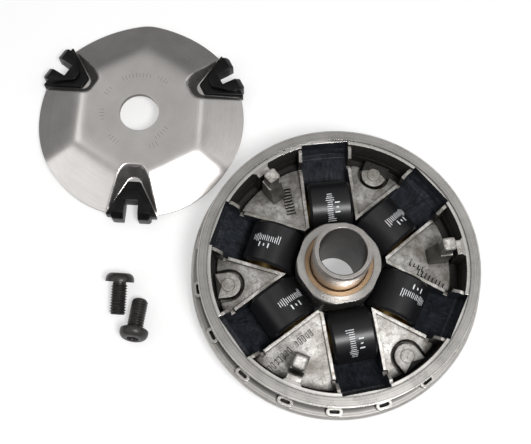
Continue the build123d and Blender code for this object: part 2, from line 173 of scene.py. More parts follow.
# ---------------------------------------------------------------- material building
class Nodes:
    """Short way to write a node tree around one Principled shader."""

    def __init__(self, name):
        self.material = bpy.data.materials.new(name)
        self.material.use_nodes = True
        self.tree = self.material.node_tree
        self.tree.nodes.clear()
        self.out = self.add("ShaderNodeOutputMaterial")
        self.shader = self.add("ShaderNodeBsdfPrincipled")
        self.link(self.shader, "BSDF", self.out, "Surface")
        self.coords = self.add("ShaderNodeTexCoord")

    def add(self, kind, **values):
        node = self.tree.nodes.new(kind)
        for key, value in values.items():
            setattr(node, key, value)
        return node

    def link(self, a, out, b, inp):
        self.tree.links.new(a.outputs[out], b.inputs[inp])

    def place(self, matrix=None):
        """Object coordinates in millimetres, after an optional move and turn."""
        mapping = self.add("ShaderNodeMapping", vector_type="POINT")
        mapping.inputs["Scale"].default_value = (1000, 1000, 1000)
        self.link(self.coords, "Object", mapping, "Vector")
        if matrix is None:
            return mapping
        turn = self.add("ShaderNodeMapping", vector_type="POINT")
        loc, rot, _ = matrix.decompose()
        turn.inputs["Location"].default_value = loc * 1000
        turn.inputs["Rotation"].default_value = rot.to_euler()
        self.link(mapping, "Vector", turn, "Vector")
        return turn

    def stretch(self, source, scale):
        mapping = self.add("ShaderNodeMapping", vector_type="POINT")
        mapping.inputs["Scale"].default_value = scale
        self.link(source, "Vector", mapping, "Vector")
        return mapping

    def noise(self, source, scale, detail=4, rough=0.6, distort=0.0):
        node = self.add("ShaderNodeTexNoise")
        node.inputs["Scale"].default_value = scale
        node.inputs["Detail"].default_value = detail
        node.inputs["Roughness"].default_value = rough
        node.inputs["Distortion"].default_value = distort
        self.link(source, "Vector", node, "Vector")
        return node

    def ramp(self, source, out, stops, interpolation="LINEAR"):
        node = self.add("ShaderNodeValToRGB")
        node.color_ramp.interpolation = interpolation
        elements = node.color_ramp.elements
        while len(elements) > 1:
            elements.remove(elements[-1])
        for i, (at, color) in enumerate(stops):
            element = elements[0] if i == 0 else elements.new(at)
            element.position = at
            value = color if isinstance(color, tuple) else (color, color, color)
            element.color = (*value, 1)
        self.link(source, out, node, "Fac")
        return node

    def math(self, operation, a, b=None, clamp=False):
        node = self.add("ShaderNodeMath", operation=operation, use_clamp=clamp)
        for i, value in enumerate((a, b)):
            if isinstance(value, tuple):
                self.link(value[0], value[1], node, i)
            elif value is not None:
                node.inputs[i].default_value = value
        return node

    def mix(self, fac, a, b, blend="MIX"):
        """Colour mix. Each of fac, a, b is a constant or a (node, output) pair."""
        node = self.add("ShaderNodeMix", data_type="RGBA", blend_type=blend)
        for index, value in ((0, fac), (6, a), (7, b)):
            if isinstance(value, tuple) and hasattr(value[0], "outputs"):
                self.tree.links.new(value[0].outputs[value[1]], node.inputs[index])
            elif index == 0:
                node.inputs[index].default_value = value
            else:
                node.inputs[index].default_value = (*value, 1)
        return node, 2

    def radius(self, source):
        """Distance from the Z axis of the given coordinates."""
        split = self.add("ShaderNodeSeparateXYZ")
        self.link(source, "Vector", split, "Vector")
        a = self.math("POWER", (split, "X"), 2)
        b = self.math("POWER", (split, "Y"), 2)
        total = self.math("ADD", (a, 0), (b, 0))
        return self.math("SQRT", (total, 0))

    def rings(self, source, scale, detail=3):
        """Fine irregular turned rings: a noise that depends on the radius and height only."""
        r = self.radius(source)
        split = self.add("ShaderNodeSeparateXYZ")
        self.link(source, "Vector", split, "Vector")
        joined = self.add("ShaderNodeCombineXYZ")
        self.link(r, 0, joined, "X")
        self.link(split, "Z", joined, "Y")
        return self.noise(joined, scale, detail, 0.7)

    def bump(self, layers, edge=0.0):
        """Chain of bumps: (node, output, strength, distance in mm); edge rounds sharp edges, in mm."""
        before = None
        if edge:
            before = self.add("ShaderNodeBevel", samples=4)
            before.inputs["Radius"].default_value = edge * MM
        for source, out, strength, distance in layers:
            node = self.add("ShaderNodeBump")
            node.inputs["Strength"].default_value = strength
            node.inputs["Distance"].default_value = distance * MM
            self.link(source, out, node, "Height")
            if before is not None:
                self.link(before, "Normal", node, "Normal")
            before = node
        if before is not None:
            self.link(before, "Normal", self.shader, "Normal")

    def color(self, source):
        self.tree.links.new(source[0].outputs[source[1]], self.shader.inputs["Base Color"])

    def rough(self, source, out, low, high):
        span = self.add("ShaderNodeMapRange")
        span.inputs["To Min"].default_value = low
        span.inputs["To Max"].default_value = high
        self.link(source, out, span, "Value")
        self.link(span, "Result", self.shader, "Roughness")

    def set(self, **values):
        for key, value in values.items():
            self.shader.inputs[key.replace("_", " ")].default_value = value
        return self.material


def cast_aluminium(name, tone):
    """Grainy die-cast skin with random brownish stains, and an occlusion node that paints brownish shade into the
    hollows; tone scales how light it is.
    """
    n = Nodes(name)
    p = n.place()
    blotch = n.noise(p, 0.16, 5, 0.65)
    grain = n.noise(p, 2.4, 5, 0.7)
    dark = n.noise(p, 0.5, 6, 0.75, 0.6)
    shades = ((0.30, (0.16, 0.145, 0.125)), (0.5, (0.36, 0.345, 0.325)), (0.68, (0.62, 0.605, 0.585)))
    base = n.ramp(blotch, "Fac", [(at, tuple(min(0.9, tone * c) for c in color)) for at, color in shades])
    stain = n.ramp(dark, "Fac", [(0.36, 1.0), (0.5, 0.0)])
    stained = n.mix((stain, "Color"), (base, "Color"), tuple(tone * c for c in (0.20, 0.18, 0.155)))
    speck = n.ramp(grain, "Fac", [(0.30, 0.55), (0.5, 1.0), (0.75, 1.2)])
    grainy = n.mix(0.9, stained, (speck, "Color"), "MULTIPLY")
    # painted shade: the occlusion node darkens the colour, brownish, in hollows and corners
    shade = n.add("ShaderNodeAmbientOcclusion", samples=6)
    shade.inputs["Distance"].default_value = 5.0 * MM
    ao_hollow_shade = n.ramp(shade, "AO", [(0.2, (0.26, 0.24, 0.215)), (0.75, (1, 1, 1))])
    n.color(n.mix(0.95, grainy, (ao_hollow_shade, "Color"), "MULTIPLY"))
    n.rough(grain, "Fac", 0.30, 0.55)
    n.bump([(grain, "Fac", 0.6, 0.12), (dark, "Fac", 0.4, 0.25)], edge=0.45)
    return n.set(Metallic=0.55)


def painted_hollow_shade():
    """Unmachined skin at the bottom of the pockets, painted near black as shade, with a faint mottle."""
    n = Nodes("painted_hollow_shade")
    p = n.place()
    shade_mottle = n.noise(p, 0.9, 6, 0.7)
    base = n.ramp(shade_mottle, "Fac", [(0.3, (0.010, 0.009, 0.008)), (0.6, (0.030, 0.027, 0.024)),
                                 (0.8, (0.075, 0.066, 0.055))])
    n.color((base, "Color"))
    n.rough(shade_mottle, "Fac", 0.5, 0.75)
    n.bump([(shade_mottle, "Fac", 0.4, 0.15)])
    return n.set(Metallic=0.2, Specular_IOR_Level=0.3)


TURNED_TONE = (0.56, 0.54, 0.515)
# how light the turned faces are at a distance from the axis, as shares of BAND_SPAN mm
BAND_SPAN = 60.0
RIM_BANDS = [(r / BAND_SPAN, tone) for r, tone in (
    (44.0, 1.0), (45.2, 1.25), (46.1, 1.15), (46.3, 0.5), (46.6, 0.82), (48.2, 0.98), (49.2, 0.8),
    (49.5, 1.2), (52.0, 1.0))]
# the ledge's bands are painted shade under the rim's lip, then painted reflection bands and a painted highlight
# towards the outer edge
LEDGE_SHADE_BANDS = [(r / BAND_SPAN, tone) for r, tone in (
    (47.0, 0.14), (49.6, 0.24), (50.3, 0.42), (50.8, 0.80), (51.3, 0.60), (51.9, 1.0), (52.5, 1.45))]


def machined_aluminium(name, tone, bands, ring_scale=3.0, rough=(0.20, 0.36)):
    """Turned face: fine concentric rings, a few darker ones, faint smears."""
    n = Nodes(name)
    p = n.place()
    fine = n.rings(p, ring_scale, 4)
    broad = n.rings(p, ring_scale * 0.22, 3)
    smear = n.noise(p, 0.12, 5, 0.65)
    light, low = tone, tuple(0.55 * c for c in tone)
    base = n.ramp(fine, "Fac", [(0.3, low), (0.55, light), (0.8, tuple(min(1, 1.12 * c) for c in tone))])
    stripes = n.ramp(broad, "Fac", [(0.35, 0.78), (0.6, 1.0)])
    banded = n.mix(0.7, (base, "Color"), (stripes, "Color"), "MULTIPLY")
    clouds = n.ramp(smear, "Fac", [(0.35, 0.8), (0.65, 1.05)])
    clouded = n.mix(0.7, banded, (clouds, "Color"), "MULTIPLY")
    # tone across the face by distance from the axis; on the ledge these bands are painted shade and reflections
    share = n.math("DIVIDE", (n.radius(p), 0), BAND_SPAN)
    across = n.ramp(share, 0, bands)
    n.color(n.mix(1.0, clouded, (across, "Color"), "MULTIPLY"))
    n.rough(smear, "Fac", *rough)
    n.bump([(fine, "Fac", 0.35, 0.05), (broad, "Fac", 0.2, 0.1)], edge=0.3)
    return n.set(Metallic=0.95)


def ramp_coating():
    """Black hard coat on the roller ramps, with fine scuffs along the channels and greyish rub marks."""
    n = Nodes("black_ramp_coating")
    p = n.place()
    split = n.add("ShaderNodeSeparateXYZ")
    n.link(p, "Vector", split, "Vector")
    angle = n.math("ARCTAN2", (split, "Y"), (split, "X"))
    around = n.math("MULTIPLY", (angle, 0), 36.0)
    polar = n.add("ShaderNodeCombineXYZ")
    n.link(around, 0, polar, "X")
    n.link(n.radius(p), 0, polar, "Y")
    n.link(split, "Z", polar, "Z")
    scuff = n.noise(n.stretch(polar, (2.4, 0.30, 0.30)), 1.0, 6, 0.75)
    cross = n.noise(n.stretch(polar, (0.25, 1.9, 1.9)), 1.0, 6, 0.75)
    cloud = n.noise(p, 0.30, 5, 0.65)
    base = n.ramp(cloud, "Fac", [(0.35, (0.0075, 0.0085, 0.011)), (0.7, (0.024, 0.028, 0.036))])
    marks = n.ramp(scuff, "Fac", [(0.50, 0.0), (0.72, 0.8)])
    marked = n.mix((marks, "Color"), (base, "Color"), (0.070, 0.077, 0.090))
    more = n.ramp(cross, "Fac", [(0.58, 0.0), (0.76, 0.6)])
    n.color(n.mix((more, "Color"), marked, (0.085, 0.09, 0.10)))
    n.rough(scuff, "Fac", 0.30, 0.50)
    n.bump([(scuff, "Fac", 0.25, 0.05), (cross, "Fac", 0.12, 0.05)], edge=0.3)
    return n.set(Specular_IOR_Level=0.4)


def turned_metal(name, low, high, place=None, ring_scale=4.0, rough=(0.25, 0.4), metallic=1.0, bump=0.3):
    """Ground or turned bar: rings round its own axis plus a soft cloudiness."""
    n = Nodes(name)
    p = n.place(place)
    fine = n.rings(p, ring_scale, 4)
    cloud = n.noise(p, 0.3, 4, 0.6)
    base = n.ramp(fine, "Fac", [(0.3, low), (0.7, high)])
    tone = n.ramp(cloud, "Fac", [(0.3, 0.8), (0.7, 1.05)])
    n.color(n.mix(0.8, (base, "Color"), (tone, "Color"), "MULTIPLY"))
    n.rough(cloud, "Fac", *rough)
    n.bump([(fine, "Fac", bump, 0.03)], edge=0.15)
    return n.set(Metallic=metallic)


def black_nylon(name, place):
    """Roller skin: near black, satin, with faint rings round the roller's own axis and pale dust."""
    n = Nodes(name)
    p = n.place(place)
    fine = n.rings(p, 2.2, 5)
    dust = n.noise(p, 1.6, 6, 0.8)
    base = n.ramp(fine, "Fac", [(0.3, (0.004, 0.004, 0.005)), (0.55, (0.008, 0.008, 0.009)),
                                (0.8, (0.020, 0.020, 0.021))])
    flecks = n.ramp(dust, "Fac", [(0.66, 0.0), (0.80, 0.22)])
    n.color(n.mix((flecks, "Color"), (base, "Color"), (0.12, 0.12, 0.12)))
    n.rough(fine, "Fac", 0.27, 0.42)
    n.bump([(fine, "Fac", 0.22, 0.04), (dust, "Fac", 0.06, 0.03)], edge=0.25)
    return n.set(Specular_IOR_Level=0.4)


def moulded_plastic():
    """Slide pieces: black, even, slightly greasy sheen, small mould marks."""
    n = Nodes("moulded_black_plastic")
    p = n.place()
    skin = n.noise(p, 3.2, 4, 0.6)
    cloud = n.noise(p, 0.35, 3, 0.5)
    base = n.ramp(cloud, "Fac", [(0.3, (0.0015, 0.0014, 0.0014)), (0.7, (0.005, 0.0048, 0.0048))])
    worn = n.ramp(skin, "Fac", [(0.62, 0.0), (0.8, 0.25)])
    n.color(n.mix((worn, "Color"), (base, "Color"), (0.05, 0.049, 0.049)))
    n.rough(cloud, "Fac", 0.26, 0.40)
    n.bump([(skin, "Fac", 0.12, 0.04)], edge=0.2)
    return n.set(Specular_IOR_Level=0.18)


def sheet_steel(centre):
    """Pressed plate: satin steel, polished round its own centre, with hair scratches and faint smudges."""
    n = Nodes("satin_pressed_steel")
    p = n.place(Matrix.Translation(-centre))
    hair = n.rings(n.stretch(p, (1, 1, 0.2)), 5.5, 5)
    long_hair = n.noise(n.stretch(p, (0.25, 5.0, 1)), 0.8, 5, 0.7)
    smudge = n.noise(p, 0.07, 5, 0.62)
    base = n.ramp(hair, "Fac", [(0.3, (0.56, 0.538, 0.525)), (0.7, (0.72, 0.695, 0.68))])
    film = n.ramp(smudge, "Fac", [(0.35, (0.86, 0.85, 0.84)), (0.65, (1, 1, 1))])
    n.color(n.mix(0.8, (base, "Color"), (film, "Color"), "MULTIPLY"))
    n.rough(smudge, "Fac", 0.24, 0.34)
    n.bump([(hair, "Fac", 0.07, 0.02), (long_hair, "Fac", 0.05, 0.02)])
    return n.set(Metallic=1.0, Anisotropic=0.3)


def black_oxide(name, place):
    """Blackened screw steel: brownish black, a little oily, with lighter worn flecks here and there."""
    n = Nodes(name)
    p = n.place(place)
    grain = n.noise(p, 2.2, 5, 0.7)
    cloud = n.noise(p, 0.5, 3, 0.5)
    base = n.ramp(cloud, "Fac", [(0.3, (0.018, 0.0165, 0.0165)), (0.7, (0.040, 0.036, 0.035))])
    worn = n.ramp(grain, "Fac", [(0.55, 0.0), (0.8, 0.5)])
    n.color(n.mix((worn, "Color"), (base, "Color"), (0.10, 0.092, 0.09)))
    n.rough(grain, "Fac", 0.30, 0.48)
    n.bump([(grain, "Fac", 0.18, 0.05)], edge=0.12)
    return n.set(Metallic=0.35, Specular_IOR_Level=0.55)


def white_ink():
    """Printed marks: thin white ink, worn so that it is uneven."""
    n = Nodes("white_print")
    p = n.place()
    wear = n.noise(p, 3.0, 5, 0.75)
    tone = n.ramp(wear, "Fac", [(0.34, (0.22, 0.22, 0.22)), (0.46, (0.68, 0.69, 0.71)),
                                (0.75, (0.84, 0.85, 0.87))])
    n.color((tone, "Color"))
    n.rough(wear, "Fac", 0.4, 0.6)
    n.bump([(wear, "Fac", 0.1, 0.02)])
    return n.set()


# ---------------------------------------------------------------- pulley housing
def island_top(r):
    """Height of the raised island edges at distance r from the pulley axis."""
    return ISLAND_Z1 + (RIM_INNER_R - r) * (ISLAND_Z0 - ISLAND_Z1) / (RIM_INNER_R - HUB_MOAT_R)


def plateau(r):
    """Height of the floor between those edges."""
    share = (r - HUB_MOAT_R) / (RIM_INNER_R - HUB_MOAT_R)
    return island_top(r) - PLATEAU_DROP - (PLATEAU_RIM_DROP - PLATEAU_DROP) * share


CAST, LIT_TOPS, SHADED, HOLLOW_SHADE, TURNED, SHADED_LEDGE, COATED = range(7)
CLOSE = 0.3 * MM            # a face whose middle is this close to a surface counts as part of it


def housing_surface(center, normal):
    """Which finish a face of the housing gets; some of them are copies that carry painted light and shade."""
    r = math.hypot(center.x, center.y)
    angle = math.degrees(math.atan2(center.y, center.x)) % 360
    off = min(((angle - axis + 180) % 360 - 180 for axis in CHANNELS), key=abs)
    across = r * sin(radians(off))
    along = r * cos(radians(off))
    in_channel = abs(across) < CHANNEL_HALF + 0.05 * MM and 13 * MM < along < CHANNEL_END + 0.05 * MM
    if in_channel and center.z > CHANNEL_FLOOR - 0.1 * MM and r > HUB_R + 0.05 * MM:
        if normal.z < 0.98 or center.z < RIM_FACE_Z - MM:
            return COATED
    upright = abs(normal.z) < 0.5
    if r > WALL_R - CLOSE:
        spacing = 360 / LUGS
        beside = r * sin(radians((angle - POST_AXIS + spacing / 2) % spacing - spacing / 2))
        in_slot = abs(r - LUG_R) < LUG_SLOT_HALF + CLOSE / 2 and abs(beside) < LUG_SLOT_END + CLOSE / 3
        # painted shade: the lug slots' floors and walls get the near-black hollow skin
        if in_slot and LEDGE_Z < center.z < LUG_TOP and (upright or center.z < SLOT_FLOOR + CLOSE):
            return HOLLOW_SHADE
        if upright and LEDGE_Z < center.z < RIM_FACE_Z - 3 * MM:
            return CAST
        # painted shade: the ledge's upper face gets the banded copy, dark under the rim's lip
        return SHADED_LEDGE if center.z < LEDGE_Z + CLOSE and normal.z > -0.5 else TURNED
    if center.z > RIM_FACE_Z and normal.z > 0.5 and r > RIM_INNER_R - MM:
        return TURNED
    if r < HUB_MOAT_R - MM or normal.z < -0.5:
        return TURNED
    island = round((angle - POST_AXIS) / 60) % 6
    trench_r = TRENCH_R if island < 3 else NARROW_TRENCH_R
    # painted shade: the trenches' walls and floors get the near-black hollow skin
    if r > trench_r - 0.2 * MM and (upright or center.z < TRENCH_TOP):
        return HOLLOW_SHADE
    if upright:
        return SHADED
    # painted light: the tops of the raised edges, of the posts and of the corners by the rim get a lighter copy of
    # the cast skin
    edge = abs(center.z - island_top(r)) < CLOSE or center.z > POST_TOP_Z - 2 * CLOSE
    corner = r > TRENCH_R - MM and center.z > CORNER_Z
    return LIT_TOPS if edge or corner else CAST


def finish_housing():
    """Gives each face of the housing its finish, painted light and shade included."""
    # the lighter and darker copies of the cast skin, the near-black hollow skin and the banded ledge carry painted
    # light and shade
    mesh = paint("pulley_housing", cast_aluminium("cast_skin", 1.0), cast_aluminium("cast_painted_light", 1.3),
                 cast_aluminium("cast_shaded", 0.34), painted_hollow_shade(),
                 machined_aluminium("turned_aluminium", TURNED_TONE, RIM_BANDS),
                 machined_aluminium("turned_ledge_painted_shade", TURNED_TONE, LEDGE_SHADE_BANDS, rough=(0.38, 0.5)),
                 ramp_coating())
    for polygon in mesh.polygons:
        polygon.material_index = housing_surface(polygon.center, polygon.normal)


CAST_BAR = 0.75 * MM        # how far the cast-in bars stand up
CAST_BAR_FOOT = 0.42 * MM   # half width of a bar at its foot and at its top
CAST_BAR_TOP = 0.2 * MM
CAST_BAR_SUNK = 0.2 * MM    # how far a bar reaches below the floor
CAST_BAR_SHORTER = 0.5      # every third bar is this many millimetres shorter
# direction of the island, places of the first and last bar along and across it, count, length of a bar
BAR_ROWS = ((POST_AXIS, (29.0, -5.4), (37.2, -11.2), 8, 2.5),
            (POST_AXIS, (26.4, -1.9), (30.6, -4.4), 4, 1.7),
            (POST_AXIS + 120, (35.2, -4.6), (33.0, -3.4), 3, 3.5),
            (POST_AXIS + 120, (31.9, -2.8), (29.6, -1.6), 3, 3.5),
            (POST_AXIS + 120, (28.4, -1.1), (26.1, 0.1), 3, 3.5),
            (POST_AXIS + 240, (33.4, -5.1), (41.6, -9.0), 7, 2.6),
            (POST_AXIS + 240, (25.3, -0.4), (30.6, -3.6), 5, 2.6))


def cast_bar(length, light, dark):
    """One bar whose sloping sides take painted shade and whose top takes painted light, from a dark and a light
    copy of the skin; its length is along Y.
    """
    foot, top = CAST_BAR_FOOT, CAST_BAR_TOP
    rings = [(foot, length / 2, -CAST_BAR_SUNK), (foot, length / 2, 0.0),
             (top, length / 2 + top - foot, CAST_BAR)]
    verts = [(sx * x, sy * y, z) for x, y, z in rings for sx, sy in ((-1, -1), (1, -1), (1, 1), (-1, 1))]
    faces = [(3, 2, 1, 0), (8, 9, 10, 11)]
    faces += [(4 * k + i, 4 * k + (i + 1) % 4, 4 * k + 4 + (i + 1) % 4, 4 * k + 4 + i)
              for k in range(2) for i in range(4)]
    bar = mesh_object("bar", verts, faces, smooth=False)
    bar.data.materials.append(light)
    bar.data.materials.append(dark)
    # painted light on the top, painted shade on the sloping sides
    for polygon in bar.data.polygons:
        polygon.material_index = 0 if polygon.normal.z > 0.9 else 1
    return bar


def cast_marks():
    """Plain cast-in bars on the floors of the post islands, a neutral stand-in for foundry marks."""
    light, dark = cast_aluminium("cast_bar_top_painted_light", 1.15), cast_aluminium("cast_bar_side_painted_shade", 0.16)
    for number, (axis, first, last, count, length) in enumerate(BAR_ROWS, start=1):
        slant = math.atan2(last[1] - first[1], last[0] - first[0])
        bars = []
        for i in range(count):
            share = i / (count - 1)
            u = (first[0] + (last[0] - first[0]) * share) * MM
            v = (first[1] + (last[1] - first[1]) * share) * MM
            r = math.hypot(u, v)
            fall = math.atan((plateau(r - MM) - plateau(r + MM)) / (2 * MM))
            bar = cast_bar((length - (CAST_BAR_SHORTER if i % 3 == 1 else 0)) * MM, light, dark)
            bar.data.transform(
                Matrix.Rotation(radians(axis), 4, "Z") @ Matrix.Translation((u, v, plateau(r)))
                @ Matrix.Rotation(fall, 4, "Y") @ Matrix.Rotation(slant, 4, "Z"))
            bars.append(bar)
        joined = join(bars, f"cast_bars_{number}")
        joined.data.materials.append(light)
        joined.data.materials.append(dark)
        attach(joined, "housing")


def join(objects, name):
    """Joins meshes into one new object."""
    built = bmesh.new()
    for obj in objects:
        built.from_mesh(obj.data)
    mesh = bpy.data.meshes.new(name)
    built.to_mesh(mesh)
    built.free()
    for obj in objects:
        old = obj.data
        bpy.data.objects.remove(obj)
        bpy.data.meshes.remove(old)
    joined = bpy.data.objects.new(name, mesh)
    bpy.context.scene.collection.objects.link(joined)
    return joined


# ---------------------------------------------------------------- rollers
def roller_frame(number):
    low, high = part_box(f"roller_shell_{number}")
    centre = (low + high) / 2
    axis = Vector(joints[f"roller_{number}_travel"]["axis"]).normalized()
    up = Vector((0, 0, 1))
    out = up.cross(axis)
    turn = Matrix((up, out, axis)).transposed().to_4x4()
    return Matrix.Translation(centre) @ turn


# where the print sits on each roller: degrees out from its top, millimetres along its axis
PRINTS = {1: (27, 0.0, 2.6), 2: (-17, -0.4, 2.6), 3: (20.5, 0.9, -2.6), 4: (-22, 0.0, -3.0),
          5: (28, 0.7, -3.0), 6: (30, -0.8, -3.1)}
INK_LIFT = 0.02 * MM
INK_THICKNESS = 0.03 * MM
STROKES, STROKE_PITCH, STROKE_SWEEP = 7, 9.4, 1.5           # pairs of strokes; the rest in degrees
STROKE, LONG_STROKE, LONG_STROKES = 2.0, 3.0, (0, 5)        # lengths in mm, and which pairs are long
BAR_PITCH, BAR_SWEEP, BAR_LENGTHS = 10.5, 3.0, (1.8, 0.9, 1.8)


def ink_patch(builder, place, angle, along, sweep, width, skew=0.0, steps=4):
    """Adds one bent rectangle of ink on a roller; angles in degrees round its axis from the top."""
    radius = ROLLER_R + INK_LIFT
    rows = []
    for i in range(steps + 1):
        a = radians(angle + sweep * (i / steps - 0.5))
        shift = skew * (i / steps - 0.5)
        pair = []
        for z in (along - width / 2 + shift, along + width / 2 + shift):
            pair.append(builder.verts.new(place @ Vector((radius * cos(a), radius * sin(a), z * MM))))
        rows.append(pair)
    for a, b in zip(rows, rows[1:]):
        builder.faces.new((a[0], a[1], b[1], b[0]))


def roller_print(number, material):
    """Plain print marks: a row of thin upright strokes, and a short row of bars beside it."""
    centre_angle, along, beside = PRINTS[number]
    place = roller_frame(number)
    channel = radians(CHANNELS[number - 1])
    outward = Vector((cos(channel), sin(channel), 0))
    direction = -1 if (place.to_3x3() @ Vector((0, 1, 0))).dot(outward) < 0 else 1
    rng = random.Random(number)
    built = bmesh.new()
    for i in range(STROKES):
        angle = direction * (centre_angle + (i - STROKES // 2) * STROKE_PITCH)
        tall = LONG_STROKE if i in LONG_STROKES else STROKE
        middle = along + rng.uniform(-0.1, 0.1) + (0.45 if i == 0 else 0.0)
        ink_patch(built, place, angle - 2.6, middle, STROKE_SWEEP, tall, 0.3)
        ink_patch(built, place, angle + 2.4, middle, STROKE_SWEEP, tall * 0.95, 0.3)
    for i, length in enumerate(BAR_LENGTHS):
        angle = direction * (centre_angle + (i - 1) * BAR_PITCH)
        ink_patch(built, place, angle, along + beside, BAR_SWEEP, length, 0.2)
    bmesh.ops.recalc_face_normals(built, faces=built.faces)
    mesh = bpy.data.meshes.new(f"roller_print_{number}")
    built.to_mesh(mesh)
    built.free()
    obj = bpy.data.objects.new(f"roller_print_{number}", mesh)
    bpy.context.scene.collection.objects.link(obj)
    modifier(obj, "SOLIDIFY", thickness=INK_THICKNESS, offset=0)
    piece(applied(obj), f"roller_{number}", material)


def finish_rollers():
    ink = white_ink()
    for number in range(1, 7):
        inverse = roller_frame(number).inverted()
        paint(f"roller_shell_{number}", black_nylon(f"black_nylon_{number}", inverse))
        paint(f"roller_core_{number}", turned_metal(
            f"turned_brass_{number}", (0.36, 0.24, 0.07), (0.62, 0.45, 0.17), inverse, ring_scale=3.0))
        roller_print(number, ink)


# ---------------------------------------------------------------- hub parts
def finish_hub():
    bushing = turned_metal("sintered_bronze", (0.20, 0.125, 0.07), (0.42, 0.29, 0.18),
                           ring_scale=5.0, rough=(0.3, 0.5), metallic=0.9)
    sleeve = turned_metal("ground_steel", (0.34, 0.315, 0.295), (0.58, 0.55, 0.525),
                          ring_scale=5.0, rough=(0.22, 0.36))
    bore_shade = turned_metal("bore_painted_shade", (0.016, 0.011, 0.009), (0.065, 0.048, 0.042),
                        ring_scale=2.0, rough=(0.35, 0.5), metallic=0.1)
    paint("hub_bushing", bushing)
    # painted shade: the faces inside the sleeve's bore get a near-black turned finish
    for polygon in paint("hub_sleeve", sleeve, bore_shade).polygons:
        inward = polygon.normal.x * polygon.center.x + polygon.normal.y * polygon.center.y < 0
        polygon.material_index = 1 if inward and abs(polygon.normal.z) < 0.3 else 0


# ---------------------------------------------------------------- ramp plate
BEND = 0.42 * MM            # how much a soft bend rounds off the corner of two facets
POCKET_FOOT = 24.6 * MM     # inner end of the pocket floor
POCKET_FOOT_HALF = 1.9 * MM
POCKET_RIM_HALF = 10.6 * MM
POCKET_IN_TOP = 5.0 * MM
POCKET_OUT_TOP = 3.2 * MM
POCKET_WALL = 1.5           # rise of the pocket's walls per unit of width
TAB_NOTCH_HALF = 3.4 * MM
TAB_NOTCH_IN = 33.4 * MM


def soft_min(values, softness):
    """Smooth lower envelope of a list of arrays; softness is the drop where two of them cross."""
    k = math.log(2) / softness
    lowest = np.minimum.reduce(values)
    return lowest - np.log(sum(np.exp(-k * (v - lowest)) for v in values)) / k


def plate_height(x, y, top):
    """Top surface of the ramp plate at points about its own centre."""
    slope = tan(radians(FACET_SLOPE))
    facets = [top - (x * cos(a) + y * sin(a) - FLAT_APOTHEM) * slope
              for a in (radians(60 * i + PLATE_TURN) for i in range(6))]
    dome = soft_min([np.full_like(x, top)] + facets, BEND)
    for axis in TAB_AXES:
        a = radians(axis)
        u, v = x * cos(a) + y * sin(a), -x * sin(a) + y * cos(a)
        lean = (POCKET_RIM_HALF - POCKET_FOOT_HALF) / (PLATE_R - POCKET_FOOT)
        side = (np.abs(v) - POCKET_FOOT_HALF - (u - POCKET_FOOT) * lean) / math.hypot(1, lean)
        back = (POCKET_FOOT - u) * 1.0
        outside = np.maximum(0, -soft_min([-side, -back], 0.5 * MM))
        fall = (POCKET_IN_TOP - POCKET_OUT_TOP) / (PLATE_R - POCKET_FOOT)
        floor = POCKET_IN_TOP - np.maximum(u - POCKET_FOOT, -2 * MM) * fall
        pocket = floor + outside * POCKET_WALL
        behind = np.where(u > 12 * MM, pocket, top + 20 * MM)
        dome = soft_min([dome, behind], 0.15 * MM)
    return dome


PLATE_SKIN = 0.01 * MM      # how far the drawn plate stays inside the solid one
PLATE_GRID = (540, 84)      # points round the plate and from its bore to its edge


def make_plate():
    centre = Vector(mounts["plate_bore"]["pos_m"])
    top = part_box("ramp_plate")[1].z
    spokes, rings = PLATE_GRID
    radii = np.linspace(PLATE_BORE_R + PLATE_SKIN, PLATE_R - PLATE_SKIN, rings)
    angles = np.linspace(0, 2 * pi, spokes, endpoint=False)
    r, a = np.meshgrid(radii, angles)
    x, y = r * np.cos(a), r * np.sin(a)
    z = plate_height(x, y, top - PLATE_SKIN)
    verts = [(centre.x + px, centre.y + py, pz) for px, py, pz in zip(x.ravel(), y.ravel(), z.ravel())]
    starts = [(s * rings, (s + 1) % spokes * rings) for s in range(spokes)]
    faces = [(a + i, a + i + 1, b + i + 1, b + i) for a, b in starts for i in range(rings - 1)]
    plate = mesh_object("pressed_plate", verts, faces)
    modifier(plate, "SOLIDIFY", thickness=SHEET - 0.06 * MM, offset=-1, use_even_offset=True)
    applied(plate)
    cutters = []
    for axis in TAB_AXES:
        spot = Matrix.Translation((centre.x, centre.y, 0)) @ Matrix.Rotation(radians(axis), 4, "Z")
        cutters.append(prism("notch", [(TAB_NOTCH_IN, -TAB_NOTCH_HALF), (60 * MM, -TAB_NOTCH_HALF),
                                       (60 * MM, TAB_NOTCH_HALF), (TAB_NOTCH_IN, TAB_NOTCH_HALF)],
                             -10 * MM, 30 * MM, spot))
    cutter = join(cutters, "notches")
    modifier(plate, "BOOLEAN", operation="DIFFERENCE", object=cutter, solver="EXACT")
    modifier(plate, "BEVEL", width=0.22 * MM, segments=2, limit_method="ANGLE", angle_limit=radians(55))
    applied(plate)
    bpy.data.objects.remove(cutter)
    sharp_by_angle(plate, 50)
    piece(plate, "plate", sheet_steel(centre), ["ramp_plate"])
    plate.data.materials.append(
        turned_metal("steel_in_shade", (0.13, 0.122, 0.115), (0.26, 0.25, 0.24),
                     ring_scale=2.0, rough=(0.35, 0.5), metallic=0.8))
    for polygon in plate.data.polygons:
        from_bore = math.hypot(polygon.center.x - centre.x, polygon.center.y - centre.y) - PLATE_BORE_R
        in_bore = abs(polygon.normal.z) < 0.3 and from_bore < 0.3 * MM
        pocket_wall = 0.3 < polygon.normal.z < 0.8 and polygon.center.z < top - MM
        polygon.material_index = 1 if in_bore or pocket_wall else 0


# groups of faint strokes on the flat: direction in degrees, count, distance from the axis in mm
PLATE_MARKS = ((98, 9, 15.6), (60, 4, 16.2), (146, 3, 15.2), (186, 4, 14.2), (232, 4, 14.6), (318, 5, 12.4),
               (296, 3, 14.8))
MARK_PITCH, MARK_HALF_WIDTH, MARK_LENGTH = 1.35 * MM, 0.11 * MM, 2.0 * MM


